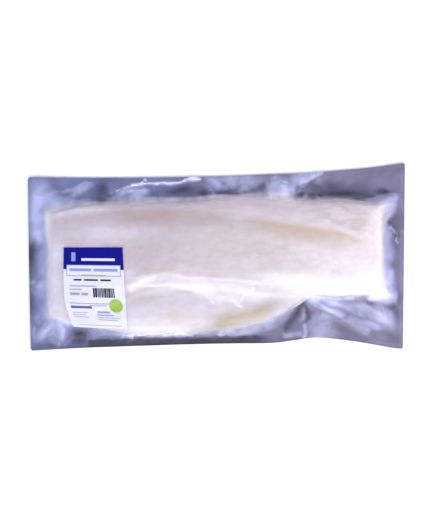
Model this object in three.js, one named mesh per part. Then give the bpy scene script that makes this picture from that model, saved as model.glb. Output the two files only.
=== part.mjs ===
// A cod loin sealed in a clear vacuum bag, with a paper label stuck on the film over one end.
// The film clings to the fish all over, so the sealed bag and the fish in it are one closed solid.
// Millimetres, +Z up: +X runs along the bag, +Y across it, and the origin is on the table
// under the bag's middle.
import * as THREE from "three";

const { clamp, lerp, smootherstep } = THREE.MathUtils;

// Bag: a pouch of 200 x 400 mm film, welded round its edge and drawn in by the fish.
const BAG_HALF_LENGTH = 200;
const BAG_FAR_EDGE = [[-200, 86], [-30, 86.4], [90, 90.2], [150, 95.2], [200, 100.5]];
const BAG_NEAR_EDGE = [
  [-200, -100.5], [-120, -95.5], [-20, -92.2], [60, -90.6], [105, -86], [150, -90], [200, -100.5],
];
const BAG_LEFT_EDGE = [[-100, -196.5], [86, -200]];
const BAG_RIGHT_EDGE = [[-100, 197], [100, 200]];
const WELD_THICKNESS = 0.8;
const END_LIFT = 1.6; // how far the welded ends curl up off the table
const SIDE_LIFT = 0.7;
const END_CURL_FROM = 146;
const LIFT_WAVE = 0.4;
const LIFT_WAVELENGTH = 150;

// Loin: the thick back muscle, cut square at both ends.
const LOIN_LEFT_END = -178;
const LOIN_RIGHT_END = 176;
const LOIN_FAR_EDGE = [
  [LOIN_LEFT_END, 47], [-140, 54.5], [-70, 58.5], [-25, 60], [25, 65.5], [90, 62], [135, 61.5],
  [178, 55.5],
];
const LOIN_NEAR_EDGE = [
  [-180, -65], [-145, -64.5], [-92, -42.5], [-50, -27.5], [-15, -25.5], [45, -32], [110, -42],
  [136, -42.5], [178, -34],
];
const LOIN_THICKNESS = [[-180, 25], [-120, 31], [-40, 35], [50, 34.5], [120, 32], [180, 28]];
const CROWN_AT = 0.4; // share of the width, from the near edge, where the loin is thickest
const CROWN_DROP = 0.1; // share of the thickness lost towards the far edge
// How far in from its edge the fish reaches its full height
const NEAR_SHOULDER = [[-100, 14], [-40, 12], [20, 13], [70, 16], [112, 21], [176, 18]];
const FAR_SHOULDER = 9;
const END_SHOULDER = 10;

// Seam: the main muscle steps down along it to the narrow strip of the back.
const SEAM_LINE = [[-178, 36], [-123, 45.5], [-70, 47.5], [-17, 46.5], [36, 40.5], [99, 32], [150, 13]];
const SEAM_DEPTH = [[-178, 1.4], [-60, 2.1], [40, 2.7], [110, 3], [150, 1], [165, 0]];
const SEAM_FALL = 17; // width of the slope down from the main muscle
const SEAM_RISE = 9; // width of the slope up to the strip
const STRIP_RISE = 0.45; // share of the step that the strip rises again

// Flap: the thin belly muscle lying against the loin's near side, with one crease across it.
const FLAP_LEFT_END = -176;
const FLAP_TIP = 98;
const FLAP_NEAR_EDGE = [
  [FLAP_LEFT_END, -62], [-166, -71], [-150, -77.5], [-120, -80], [-15, -79.5], [30, -75.5], [58, -66],
  [87, -49], [FLAP_TIP, -42],
];
const FLAP_THICKNESS = [[-178, 20], [-110, 24], [-40, 23], [20, 20], [60, 15], [FLAP_TIP, 6]];
const FLAP_RISE_AT = 0.35; // share of the flap's width where it is thickest
const FLAP_DIP = [[-178, 0.05], [-100, 0.1], [-50, 0.2], [20, 0.3]]; // share lost beside the loin
const FLAP_SHOULDER = 10;
const FLAP_CREASE = { from: [-6, -36], to: [-18, -84], depth: 2.5, halfWidth: 8 };

// Tents: how far out from the fish the film comes down to the welds, along each of its sides.
const FAR_TENT = [
  [-178, 14], [-120, 8], [-90, 9], [-45, 5], [45, 5], [70, 12], [92, 5], [150, 5], [176, 9],
];
const NEAR_TENT = [[-150, 8], [-90, 18], [50, 18], [100, 9], [132, 13], [176, 10]];
const FLAP_TENT = [[-176, 14], [-120, 6], [-40, 6], [30, 8], [62, 13], [FLAP_TIP, 9]];
const LEFT_TENT = [[-80, 14], [-45, 8], [-10, 10], [12, 11], [32, 18], [60, 20]];
const RIGHT_TENT = [[-40, 12], [0, 9], [30, 8], [60, 10]];
const VALLEY_BRIDGE = 4; // how far the film bridges the valley between loin and flap

// Folds: ridges of slack film that run from the fish out towards the welds, narrower as they go.
const FOLDS = [
  { from: [-152, 36], to: [-192, 80], height: 12, halfWidth: 20 },
  { from: [-166, 56], to: [-134, 81], height: 5, halfWidth: 8 },
  { from: [-110, 46], to: [-113, 82], height: 5, halfWidth: 7 },
  { from: [-90, 48], to: [-84, 78], height: 8, halfWidth: 18 },
  { from: [-4, 50], to: [-9, 84], height: 6, halfWidth: 10 },
  { from: [24, 56], to: [34, 84], height: 5, halfWidth: 12 },
  { from: [72, 48], to: [70, 83], height: 15, halfWidth: 16 },
  { from: [86, 52], to: [113, 87], height: 5, halfWidth: 10 },
  { from: [150, 43], to: [193, 67], height: 19, halfWidth: 13 },
  { from: [150, -20], to: [193, -47], height: 18, halfWidth: 15 },
  { from: [126, -28], to: [194, -73], height: 11, halfWidth: 20 },
  { from: [114, -52], to: [167, -84], height: 4, halfWidth: 8 },
  { from: [72, -26], to: [137, -66], height: 9, halfWidth: 11 },
  { from: [88, -30], to: [94, -87], height: 5, halfWidth: 9 },
  { from: [-97, -68], to: [-92, -91], height: 5, halfWidth: 9 },
  { from: [-154, -50], to: [-165, -93], height: 13, halfWidth: 14 },
  { from: [-156, -50], to: [-192, -88], height: 9, halfWidth: 11 },
  { from: [-160, -12], to: [-197, -36], height: 8, halfWidth: 10 },
];
const FOLD_TAPER = 0.35; // share of a fold's width that it loses by its end

// Label: paper, its lower end bent down over the flap's side.
const LABEL_LEFT_EDGE = [[-74, -149.5], [-58, -155], [-38, -158.6], [9, -159]];
const LABEL_RIGHT_EDGE = [[-77, -93], [-40, -95], [9, -97.2]];
const LABEL_TOP = 9;
const LABEL_BOTTOM_LEFT = -73;
const LABEL_BOTTOM_RIGHT = -76;
const LABEL_THICKNESS = 0.5;
const LABEL_GAP = 1; // the glue line and the air under the paper

// Facets along and across each solid, and how many of them one facet of the plainer lower face spans
const BAG_FACETS = { columns: 102, rows: 48, lowerSpan: 3 };
const LABEL_FACETS = { columns: 14, rows: 32, lowerSpan: 1 };
const ABOVE_BAG = 100; // a height clear of the whole bag
const SLOPE_STEP = 3;

// A smooth curve through a few points [x, y], level beyond both ends.
function curve(points) {
  const last = points.length - 1;
  function slopeAt(i) {
    const [x0, y0] = points[Math.max(i - 1, 0)];
    const [x1, y1] = points[Math.min(i + 1, last)];
    return (y1 - y0) / (x1 - x0);
  }
  return (x) => {
    if (x <= points[0][0]) return points[0][1];
    if (x >= points[last][0]) return points[last][1];
    const i = points.findIndex((p) => p[0] >= x) - 1;
    const [x0, y0] = points[i];
    const [x1, y1] = points[i + 1];
    const span = x1 - x0;
    const t = (x - x0) / span;
    const ease = t * t * (3 - 2 * t);
    const leaving = slopeAt(i) * span * t * (1 - t) * (1 - t);
    const arriving = slopeAt(i + 1) * span * t * t * (1 - t);
    return y0 + (y1 - y0) * ease + leaving - arriving;
  };
}

const bagFar = curve(BAG_FAR_EDGE);
const bagNear = curve(BAG_NEAR_EDGE);
const bagLeft = curve(BAG_LEFT_EDGE);
const bagRight = curve(BAG_RIGHT_EDGE);
const loinFar = curve(LOIN_FAR_EDGE);
const loinNear = curve(LOIN_NEAR_EDGE);
const loinThickness = curve(LOIN_THICKNESS);
const seamLine = curve(SEAM_LINE);
const seamDepth = curve(SEAM_DEPTH);
const flapNear = curve(FLAP_NEAR_EDGE);
const flapThickness = curve(FLAP_THICKNESS);
const flapDip = curve(FLAP_DIP);
const farTent = curve(FAR_TENT);
const nearShoulder = curve(NEAR_SHOULDER);
const nearTent = curve(NEAR_TENT);
const flapTent = curve(FLAP_TENT);
const leftTent = curve(LEFT_TENT);
const rightTent = curve(RIGHT_TENT);
const labelLeft = curve(LABEL_LEFT_EDGE);
const labelRight = curve(LABEL_RIGHT_EDGE);

// The larger of two heights, rounded over where they are close.
function softMax(a, b, blend) {
  const mix = Math.max(blend - Math.abs(a - b), 0) / blend;
  return Math.max(a, b) + (mix * mix * blend) / 4;
}

// Where a place lies beside a straight line: the share of the way along it, and how far off it.
function besideLine(x, y, from, to) {
  const run = [to[0] - from[0], to[1] - from[1]];
  const way = (x - from[0]) * run[0] + (y - from[1]) * run[1];
  const along = clamp(way / (run[0] ** 2 + run[1] ** 2), 0, 1);
  const aside = Math.hypot(x - from[0] - along * run[0], y - from[1] - along * run[1]);
  return { along, aside };
}

// The share of the fish's height that the film has reached, a given way in from the fish's edge.
function climb(inside, shoulder, tent) {
  return smootherstep(inside, -tent, shoulder);
}

// How far the seam takes the loin's surface down.
function seamDrop(x, y) {
  const away = y - seamLine(x);
  const fall = smootherstep(away, -SEAM_FALL, 0);
  const rise = smootherstep(away, 0, SEAM_RISE);
  return seamDepth(x) * (fall - STRIP_RISE * rise);
}

// The share of a fish's height left between its two ends.
function betweenEnds(x, y, left, right, rightShoulder) {
  return climb(x - left, END_SHOULDER, leftTent(y)) * climb(right - x, rightShoulder, rightTent(y));
}

function loinHeight(x, y) {
  const near = loinNear(x);
  const far = loinFar(x);
  const across = (y - near) / (far - near);
  const crown = 1 - CROWN_DROP * ((across - CROWN_AT) / (1 - CROWN_AT)) ** 2;
  const nearSide = climb(y - near, nearShoulder(x), nearTent(x));
  const farSide = climb(far - y, FAR_SHOULDER, farTent(x));
  const ends = betweenEnds(x, y, LOIN_LEFT_END, LOIN_RIGHT_END, END_SHOULDER);
  return Math.max(loinThickness(x) * crown - seamDrop(x, y), 0) * nearSide * farSide * ends;
}

function flapHeight(x, y) {
  const near = flapNear(x);
  const width = Math.max(loinNear(x) - near, 1);
  const across = clamp((y - near) / width, 0, 1);
  const dip = flapDip(x) * clamp((across - FLAP_RISE_AT) / (1 - FLAP_RISE_AT), 0, 1) ** 2;
  const { aside } = besideLine(x, y, FLAP_CREASE.from, FLAP_CREASE.to);
  const crease = FLAP_CREASE.depth * (1 - smootherstep(aside, 0, FLAP_CREASE.halfWidth));
  const nearSide = climb(y - near, FLAP_SHOULDER, flapTent(x));
  const farSide = climb(loinFar(x) - y, FAR_SHOULDER, farTent(x));
  const ends = betweenEnds(x, y, FLAP_LEFT_END, FLAP_TIP, FLAP_SHOULDER);
  return (flapThickness(x) * (1 - dip) - crease) * nearSide * farSide * ends;
}

function foldHeight(x, y) {
  let highest = 0;
  for (const { from, to, height, halfWidth } of FOLDS) {
    const { along, aside } = besideLine(x, y, from, to);
    const ridge = 1 - smootherstep(aside, 0, halfWidth * (1 - FOLD_TAPER * along));
    highest = Math.max(highest, height * (1 - along ** 4) * ridge);
  }
  return highest;
}

// The bag's underside: flat under the fish, curling up a little towards the welds.
function underside(x, y) {
  const fishNear = Math.min(loinNear(x), flapNear(x));
  const inside = Math.min(y - fishNear, loinFar(x) - y, x - LOIN_LEFT_END, LOIN_RIGHT_END - x);
  const outside = Math.max(-inside, 0);
  const toRim = Math.min(bagFar(x) - y, y - bagNear(x), bagRight(y) - x, x - bagLeft(y));
  const outward = outside / (outside + Math.max(toRim, 0) + 1);
  const wave = LIFT_WAVE * Math.sin((2 * Math.PI * (x + y)) / LIFT_WAVELENGTH);
  const lift = lerp(SIDE_LIFT, END_LIFT, smootherstep(Math.abs(x), END_CURL_FROM, BAG_HALF_LENGTH));
  return (lift + wave) * outward * outward;
}

// The film's outer face: the fish's form, the tents and folds round it, and the flat welds.
function filmTop(x, y) {
  const fish = softMax(loinHeight(x, y), flapHeight(x, y), VALLEY_BRIDGE);
  return underside(x, y) + WELD_THICKNESS + softMax(fish, foldHeight(x, y), VALLEY_BRIDGE);
}

// Where a share (u, v) of the way along and across the bag lies on the table.
function bagPlan(u, v) {
  const guess = lerp(-BAG_HALF_LENGTH, BAG_HALF_LENGTH, u);
  const y = lerp(bagNear(guess), bagFar(guess), v);
  return [lerp(bagLeft(y), bagRight(y), u), y];
}

function labelPlan(u, v) {
  const y = lerp(lerp(LABEL_BOTTOM_LEFT, LABEL_BOTTOM_RIGHT, u), LABEL_TOP, v);
  return [lerp(labelLeft(y), labelRight(y), u), y];
}

// A closed solid between two height fields over the same plan.
function layer({ columns, rows, lowerSpan }, plan, lower, upper) {
  const positions = [];
  const indices = [];

  // Adds the corners of one face, and returns where the corner (i, j) is in the list.
  function addCorners(height, span) {
    const first = positions.length / 3;
    for (let j = 0; j <= rows; j += span) {
      for (let i = 0; i <= columns; i += span) {
        const [x, y] = plan(i / columns, j / rows);
        positions.push(x, y, height(x, y));
      }
    }
    return (i, j) => first + (j / span) * (columns / span + 1) + i / span;
  }
  const base = addCorners(lower, lowerSpan);
  const top = addCorners(upper, 1);

  // Each cell is split along the more level of its diagonals, so that ridges and edges stay whole.
  function cell(corner, i, j, span) {
    const [a, b] = [corner(i, j), corner(i + span, j)];
    const [c, d] = [corner(i + span, j + span), corner(i, j + span)];
    const rise = (from, to) => Math.abs(positions[3 * to + 2] - positions[3 * from + 2]);
    return rise(a, c) <= rise(b, d) ? [a, b, c, a, c, d] : [a, b, d, b, c, d];
  }
  function addCells(corner, span, turn) {
    for (let j = 0; j < rows; j += span) {
      for (let i = 0; i < columns; i += span) {
        indices.push(...turn(cell(corner, i, j, span)));
      }
    }
  }
  addCells(top, 1, (triangles) => triangles);
  addCells(base, lowerSpan, (triangles) => triangles.reverse());

  // The wall under one stretch of the rim: one edge of the lower face and the upper edges over it.
  function wall(corner) {
    const left = base(...corner(0));
    for (let k = 0; k < lowerSpan; k++) {
      indices.push(left, top(...corner(k + 1)), top(...corner(k)));
    }
    indices.push(left, base(...corner(lowerSpan)), top(...corner(lowerSpan)));
  }
  for (let i = 0; i < columns; i += lowerSpan) {
    wall((k) => [i + k, 0]);
    wall((k) => [columns - i - k, rows]);
  }
  for (let j = 0; j < rows; j += lowerSpan) {
    wall((k) => [columns, j + k]);
    wall((k) => [0, rows - j - k]);
  }
  const geometry = new THREE.BufferGeometry();
  geometry.setAttribute("position", new THREE.Float32BufferAttribute(positions, 3));
  geometry.setIndex(indices);
  geometry.computeVertexNormals();
  return geometry;
}

function sealedBag() {
  const geometry = layer(BAG_FACETS, bagPlan, underside, filmTop);
  const film = new THREE.MeshStandardMaterial({ color: 0xe0dae2, roughness: 0.18, metalness: 0 });
  const mesh = new THREE.Mesh(geometry, film);
  mesh.name = "sealed_bag";
  return mesh;
}

// How much longer a step is along the film than along the table.
function steepness(x, y) {
  const alongX = (filmTop(x + SLOPE_STEP, y) - filmTop(x - SLOPE_STEP, y)) / (2 * SLOPE_STEP);
  const alongY = (filmTop(x, y + SLOPE_STEP) - filmTop(x, y - SLOPE_STEP)) / (2 * SLOPE_STEP);
  return Math.hypot(1, alongX, alongY);
}

// The label lies on the bag's own facets, with the glue and the paper measured square to them.
function label(bag) {
  const plumb = new THREE.Raycaster();
  const down = new THREE.Vector3(0, 0, -1);
  function above(x, y, offset) {
    plumb.set(new THREE.Vector3(x, y, ABOVE_BAG), down);
    return plumb.intersectObject(bag)[0].point.z + offset * steepness(x, y);
  }
  const glued = (x, y) => above(x, y, LABEL_GAP);
  const printed = (x, y) => above(x, y, LABEL_GAP + LABEL_THICKNESS);
  const geometry = layer(LABEL_FACETS, labelPlan, glued, printed);
  const paper = new THREE.MeshStandardMaterial({ color: 0xf4f4fa, roughness: 0.45, metalness: 0 });
  const mesh = new THREE.Mesh(geometry, paper);
  mesh.name = "label";
  return mesh;
}

const pack = new THREE.Group();
pack.name = "vacuum_packed_cod_loin";
const bag = sealedBag();
pack.add(bag, label(bag));

export default pack;
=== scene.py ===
import math
import random

import bpy
import numpy as np
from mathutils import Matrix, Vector, geometry
from mathutils.bvhtree import BVHTree


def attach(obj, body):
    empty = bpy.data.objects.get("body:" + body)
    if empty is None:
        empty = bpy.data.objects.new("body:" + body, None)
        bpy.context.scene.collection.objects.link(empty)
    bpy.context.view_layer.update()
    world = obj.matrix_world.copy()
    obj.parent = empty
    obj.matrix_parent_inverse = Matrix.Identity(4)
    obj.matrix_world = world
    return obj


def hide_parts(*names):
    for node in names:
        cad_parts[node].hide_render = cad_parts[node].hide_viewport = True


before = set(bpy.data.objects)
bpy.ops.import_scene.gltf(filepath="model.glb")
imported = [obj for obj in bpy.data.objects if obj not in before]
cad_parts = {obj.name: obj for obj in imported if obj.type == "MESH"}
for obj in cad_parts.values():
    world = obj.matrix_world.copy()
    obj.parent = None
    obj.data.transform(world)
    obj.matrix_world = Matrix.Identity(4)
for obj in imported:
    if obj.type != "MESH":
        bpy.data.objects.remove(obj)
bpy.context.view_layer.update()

# A cod loin sealed in a clear vacuum bag, with a paper label on the film.
# Plan sizes are millimetres in the part's frame: +X along the bag, +Y across it, +Z up.
# A pair named RAMP says where something starts and where it is full.
MM = 0.001
BODY = "root"
scene = bpy.context.scene
SEED = 7
TINY = 1e-9


def srgb(red, green, blue):
    """A screen colour, 0 to 255, as linear light by the standard curve."""
    shares = np.array([red, green, blue]) / 255
    low = shares / 12.92
    high = ((shares + 0.055) / 1.055) ** 2.4
    return np.where(shares <= 0.04045, low, high)


def ramp(value, start, full):
    """0 up to one limit and 1 from the other one on, which may be the lower of the two."""
    t = np.clip((value - start) / (full - start), 0, 1)
    return t * t * (3 - 2 * t)


def span(value, start, end, start_fade, end_fade):
    """1 between two ends, fading out across each of them."""
    rise = ramp(value, start - start_fade, start + start_fade)
    return rise * ramp(value, end + end_fade, end - end_fade)


def lerp(a, b, t):
    return a + (b - a) * t


def bell(distance, width):
    """1 at no distance, fading out over a width."""
    return np.exp(-((distance / width) ** 2))


def curve(points):
    """A smooth curve through a few points (x, y), level beyond both ends."""
    xs, ys = np.array(points, float).T
    slopes = np.empty_like(ys)
    slopes[1:-1] = (ys[2:] - ys[:-2]) / (xs[2:] - xs[:-2])
    slopes[0] = (ys[1] - ys[0]) / (xs[1] - xs[0])
    slopes[-1] = (ys[-1] - ys[-2]) / (xs[-1] - xs[-2])

    def at(x):
        x = np.clip(x, xs[0], xs[-1])
        i = np.clip(np.searchsorted(xs, x) - 1, 0, len(xs) - 2)
        run = xs[i + 1] - xs[i]
        t = (x - xs[i]) / run
        leaving = slopes[i] * run * t * (1 - t) ** 2
        arriving = slopes[i + 1] * run * t * t * (1 - t)
        return ys[i] + (ys[i + 1] - ys[i]) * t * t * (3 - 2 * t) + leaving - arriving

    return at


# Camera: the photograph is 435 x 520 pixels and looks straight down.
PIXEL = 1.06
IMAGE_HEIGHT = 520
VIEW_CENTRE = (1.1, -3.2)
LENS = 100
SENSOR = 36

# Bag: length, mean width and outline, which is the solid's drawn in by up to two millimetres
BAG_SIZE = (400, 190)
bag_far = curve([
    (-200, 84.4), (-150, 83.9), (-80, 84), (-30, 84.7), (20, 86), (60, 87.7), (90, 88.6), (125, 91.2),
    (150, 93.3), (170, 95.3), (200, 99.7),
])
bag_near = curve([
    (-200, -99.1), (-150, -96.4), (-110, -94.9), (-20, -92.1), (20, -91.4), (60, -90.9), (82, -88.2),
    (105, -85.2), (125, -86.4), (150, -89.4), (170, -92.7), (186, -95.6), (200, -97.3),
])
bag_left = curve([(-100, -196.2), (0, -198.3), (86, -199.2)])
bag_right = curve([(-100, 197.1), (100, 199.3)])
BAG_CORNER = 2.5
WELD = 5
FILM_MESH = (286, 143)
FILM_LEAST_GAP = 0.35

# Fish: length, mean width and outline, which is the solid's with the far edge and the flap's moved a little
FISH_SIZE = (354, 120)
FISH_LEFT = -178
FISH_RIGHT = 177
loin_far = curve([
    (-178, 47), (-140, 54.5), (-70, 58.5), (-25, 60), (25, 65), (60, 64.5), (76, 63),
    (88, 59.4), (100, 60.2), (118, 61.1), (135, 61.3), (150, 59), (178, 54.5),
])
loin_near = curve([
    (-180, -65), (-145, -64.5), (-92, -42.5), (-50, -27.5), (-15, -25.5), (45, -32), (110, -42),
    (136, -42.5), (178, -34),
])
flap_near = curve([
    (-176, -60), (-166, -66), (-150, -71), (-130, -74.5), (-114, -78), (-95, -82), (-60, -83.5),
    (-27, -82.5), (-5, -79.5), (30, -75.5), (58, -66), (87, -49), (98, -42),
])
seam_line = curve([
    (-178, 36), (-123, 45.5), (-70, 47.5), (-17, 46.5), (36, 40.5), (99, 31.5), (130, 27.5), (152, 19.5),
])
FISH_CORNER = 9
FISH_MESH = (300, 130)
FILM_GAP = 0.5
FISH_BASE = 0.6
# The fish's side: thickness at its edge, share of the height that it starts from, and how far in it ends
FISH_EDGE = 0.8
FISH_SIDE_START = 0.05
FISH_SIDE = 3

# Label: size and outline, which is the solid's but for an upper edge 0.8 mm beyond it
LABEL_SIZE = (62, 87)
label_left = curve([(-74, -149.5), (-58, -155), (-38, -158.6), (9, -159)])
label_right = curve([(-77, -93), (-40, -95), (9, -97.2)])
LABEL_TOP = 9.8
LABEL_BOTTOM = (-73, -76)
LABEL_CORNER = 1.8
LABEL_LIFT = 0.35
LABEL_THICKNESS = 0.25
LABEL_FADE = 5
INK_LIFT = 0.08

# Height maps of the solid, on a square grid, read by rays from RAY_START metres above or below the table;
# INSIDE_MAP keeps a place on the map's edge in its last cell
MAP_STEP = 1.0
MAP_HALF = (206, 107)
MAP_X, MAP_Y = (np.arange(-half, half + MAP_STEP / 2, MAP_STEP) for half in MAP_HALF)
RAY_START = 0.5
INSIDE_MAP = 0.001
# How much the map's facets are smoothed at the fish's edge and inside it, where that starts, and the reach
MAP_BLUR = 2.0
FISH_BLUR = 4.5
FISH_BLUR_RAMP = (4, 12)
BLUR_REACH = 3

SHARP_ANGLE = math.radians(60)

# Smooth noise: height, wavelengths along its two directions, and shifts of the table
FISH_EDGE_WAVES_X = (1.2, 13, 40)
FISH_EDGE_WAVES_Y = (1.6, 12, 40, 0, 9)
WANDER_WAVES_X = (1.0, 8, 8, 0, 5)
WANDER_WAVES_Y = (1.0, 8, 8, 7)
MEMBRANE_WAVES_X = (1.5, 7, 5, 0, 5)
MEMBRANE_WAVES_Y = (1.5, 7, 5, 7)
FLAKE_WAVES = (5, 40, 25)
LUMPS = (0.6, 23, 14)
FINE_LUMPS = (0.22, 8, 6)
STRIP_BUMPS = (0.7, 11, 8, 7, 3)
STRIP_FINE_BUMPS = (0.25, 5, 3.5, 0, 11)
DARK_STRIP_WAVES = (1.2, 5, 40)
GREY_MARK_WAVES = (1, 16, 6, 4, 2)
UNEVEN_WAVES = (0.25, 30, 16, 5)
MOTTLE = (0.03, 18, 12, 3)
FINE_MOTTLE = (0.025, 6, 5, 0, 8)

# Flat facets: height, spacing along x and y, and seed
CRUMPLE = (0.3, 9, 12, SEED)
FINE_CRUMPLE = (0.1, 4, 5, SEED + 1)
FISH_FACETS = (0.06, 6, 4, SEED + 2)
WANDER_FACETS_X = (2.2, 20, 14, SEED + 3)
WANDER_FACETS_Y = (2.0, 20, 14, SEED + 4)
VEIL_FACETS = (0.2, 12, 10, SEED + 5)
SIDE_FACETS = (0.25, 5, 6, SEED + 6)
BACK_FACETS = (1, 24, 14, SEED + 7)
# Half sizes of the field that the facets' corners are drawn in, and four corners round it
FACET_HALF = (210, 110)
FACET_OUTER = [(-215, -115), (215, -115), (215, 115), (-215, 115)]
FACET_MERGE = 1e-6
FACET_RAY_START = 5


def fish_near(x):
    """The fish's near edge: the flap's, or the loin's beyond it."""
    return np.minimum(loin_near(x), flap_near(x))


def cad_heights(node, from_above):
    """The height of a node's upper or lower face over the map's grid, in mm; nan where it has none."""
    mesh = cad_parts[node].data
    tree = BVHTree.FromPolygons(
        [v.co for v in mesh.vertices], [tuple(p.vertices) for p in mesh.polygons]
    )
    side = 1 if from_above else -1
    way = Vector((0, 0, -side))
    heights = np.full((len(MAP_Y), len(MAP_X)), np.nan)
    for j, y in enumerate(MAP_Y):
        for i, x in enumerate(MAP_X):
            place = tree.ray_cast(Vector((x * MM, y * MM, side * RAY_START)), way)[0]
            if place is not None:
                heights[j, i] = place.z / MM
    return heights


def blurred(values, sigma):
    """A Gaussian blur over the map that leaves out its empty cells."""
    reach = int(BLUR_REACH * sigma / MAP_STEP)
    kernel = np.exp(-0.5 * (np.arange(-reach, reach + 1) * MAP_STEP / sigma) ** 2)

    def smooth(a):
        for axis in (0, 1):
            a = np.apply_along_axis(np.convolve, axis, a, kernel, mode="same")
        return a

    known = np.isfinite(values)
    return smooth(np.where(known, values, 0)) / np.maximum(smooth(known.astype(float)), TINY)


def softened(heights):
    """The solid's height over the map, its facets smoothed, more so well inside the fish's edge."""
    inside = ramp(in_from_edge(*np.meshgrid(MAP_X, MAP_Y)), *FISH_BLUR_RAMP)
    return lerp(blurred(heights, MAP_BLUR), blurred(heights, FISH_BLUR), inside)


def read_map(values, x, y):
    """The map's value at any place, between its four nearest cells."""
    i = np.clip((x - MAP_X[0]) / MAP_STEP, 0, len(MAP_X) - 1 - INSIDE_MAP)
    j = np.clip((y - MAP_Y[0]) / MAP_STEP, 0, len(MAP_Y) - 1 - INSIDE_MAP)
    i0 = i.astype(int)
    j0 = j.astype(int)
    i = i - i0
    j = j - j0
    near = lerp(values[j0, i0], values[j0, i0 + 1], i)
    far = lerp(values[j0 + 1, i0], values[j0 + 1, i0 + 1], i)
    return lerp(near, far, j)


def in_from_edge(x, y):
    """How far a place lies inside the fish's outline; negative outside it."""
    return np.minimum.reduce([y - fish_near(x), loin_far(x) - y, x - FISH_LEFT, FISH_RIGHT - x])


def in_from_rim(x, y):
    """How far a place lies inside the bag's outline."""
    return np.minimum.reduce([y - bag_near(x), bag_far(x) - y, x - bag_left(y), bag_right(y) - x])


def on_label(x, y):
    """1 under the label, fading to 0 a few millimetres outside it."""
    low = lerp(*LABEL_BOTTOM, 0.5)
    inside = np.minimum.reduce([y - low, LABEL_TOP - y, x - label_left(y), label_right(y) - x])
    return ramp(inside, -LABEL_FADE, 0)


def rounded_corners(u, v, width, height, radius):
    """Shares (u, v) of a rectangle, moved so that its corners become round."""
    a = np.minimum(u, 1 - u) * width
    b = np.minimum(v, 1 - v) * height
    p = np.clip(1 - a / radius, 0, 1)
    q = np.clip(1 - b / radius, 0, 1)
    a = np.where((p > 0) & (q > 0), radius * (1 - p * np.sqrt(1 - q * q / 2)), a)
    b = np.where((p > 0) & (q > 0), radius * (1 - q * np.sqrt(1 - p * p / 2)), b)
    return np.where(u < 0.5, a / width, 1 - a / width), np.where(v < 0.5, b / height, 1 - b / height)


def grid(columns, rows):
    return np.meshgrid(np.linspace(0, 1, columns + 1), np.linspace(0, 1, rows + 1))


def bag_plan():
    u, v = rounded_corners(*grid(*FILM_MESH), *BAG_SIZE, BAG_CORNER)
    guess = lerp(-BAG_SIZE[0] / 2, BAG_SIZE[0] / 2, u)
    y = lerp(bag_near(guess), bag_far(guess), v)
    return lerp(bag_left(y), bag_right(y), u), y


def fish_plan():
    """Places over the fish, with a slightly wavy outline."""
    u, v = rounded_corners(*grid(*FISH_MESH), *FISH_SIZE, FISH_CORNER)
    x = lerp(FISH_LEFT, FISH_RIGHT, u)
    y = lerp(fish_near(x), loin_far(x), v)
    return x + fine_noise(y, x, *FISH_EDGE_WAVES_X), y + fine_noise(x, y, *FISH_EDGE_WAVES_Y)


def label_plan(u, v):
    y = lerp(lerp(*LABEL_BOTTOM, u), LABEL_TOP, v)
    return lerp(label_left(y), label_right(y), u), y


def quads(index):
    """The faces of a grid of numbered points."""
    corners = [index[:-1, :-1], index[:-1, 1:], index[1:, 1:], index[1:, :-1]]
    return np.stack(corners, -1).reshape(-1, 4)


def layer(name, x, y, lower, upper, materials):
    """A closed piece between two height fields. The first material is its upper face's, the last one
    that of its lower face and its side."""
    count = x.size
    places = np.concatenate([np.stack([x, y, upper], -1), np.stack([x, y, lower], -1)])
    index = np.arange(count).reshape(x.shape)
    upper_faces = quads(index)
    lower_faces = upper_faces[:, ::-1] + count
    rim = np.concatenate([index[0], index[1:, -1], index[-1, -2::-1], index[-2:0:-1, 0]])
    after = np.roll(rim, -1)
    wall = np.stack([rim + count, after + count, after, rim], -1)
    faces = np.concatenate([upper_faces, lower_faces, wall])
    piece = mesh_piece(name, places.reshape(-1, 3), faces, materials)
    marks = np.zeros(len(faces), np.int32)
    marks[len(upper_faces):] = len(materials) - 1
    piece.data.polygons.foreach_set("material_index", marks)
    return piece


def mesh_piece(name, places, faces, materials):
    mesh = bpy.data.meshes.new(name)
    mesh.from_pydata((places * MM).tolist(), [], [list(map(int, f)) for f in faces])
    for material in materials:
        mesh.materials.append(material)
    mesh.polygons.foreach_set("use_smooth", np.ones(len(mesh.polygons), bool))
    mesh.set_sharp_from_angle(angle=SHARP_ANGLE)
    mesh.update()
    piece = bpy.data.objects.new(name, mesh)
    scene.collection.objects.link(piece)
    return piece


def add_numbers(piece, name, values):
    """A number for each place of a layer's plan, the same on both faces, for its material to read."""
    values = np.asarray([values, values], np.float32).ravel()
    piece.data.attributes.new(name, "FLOAT", "POINT").data.foreach_set("value", values)


def add_colours(piece, name, colours):
    """A colour for each place of a layer's plan, in the same way."""
    colours = np.asarray([colours, colours], np.float32).reshape(-1, 3)
    full = np.concatenate([colours, np.ones((len(colours), 1), np.float32)], 1)
    piece.data.attributes.new(name, "FLOAT_COLOR", "POINT").data.foreach_set("color", full.ravel())


class Noise:
    """Smooth noise from a seeded table of random heights."""

    SIDE = 64

    def __init__(self, seed):
        self.table = np.random.default_rng(seed).uniform(-1, 1, (self.SIDE, self.SIDE))

    def __call__(self, x, y, height, size_x, size_y, shift_x=0, shift_y=0):
        x = x / size_x + shift_x
        y = y / size_y + shift_y
        i = np.floor(x).astype(int)
        j = np.floor(y).astype(int)
        s = ramp(x - i, 0, 1)
        t = ramp(y - j, 0, 1)
        i0, i1 = i % self.SIDE, (i + 1) % self.SIDE
        j0, j1 = j % self.SIDE, (j + 1) % self.SIDE
        near = lerp(self.table[j0, i0], self.table[j0, i1], s)
        far = lerp(self.table[j1, i0], self.table[j1, i1], s)
        return height * lerp(near, far, t)


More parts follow.
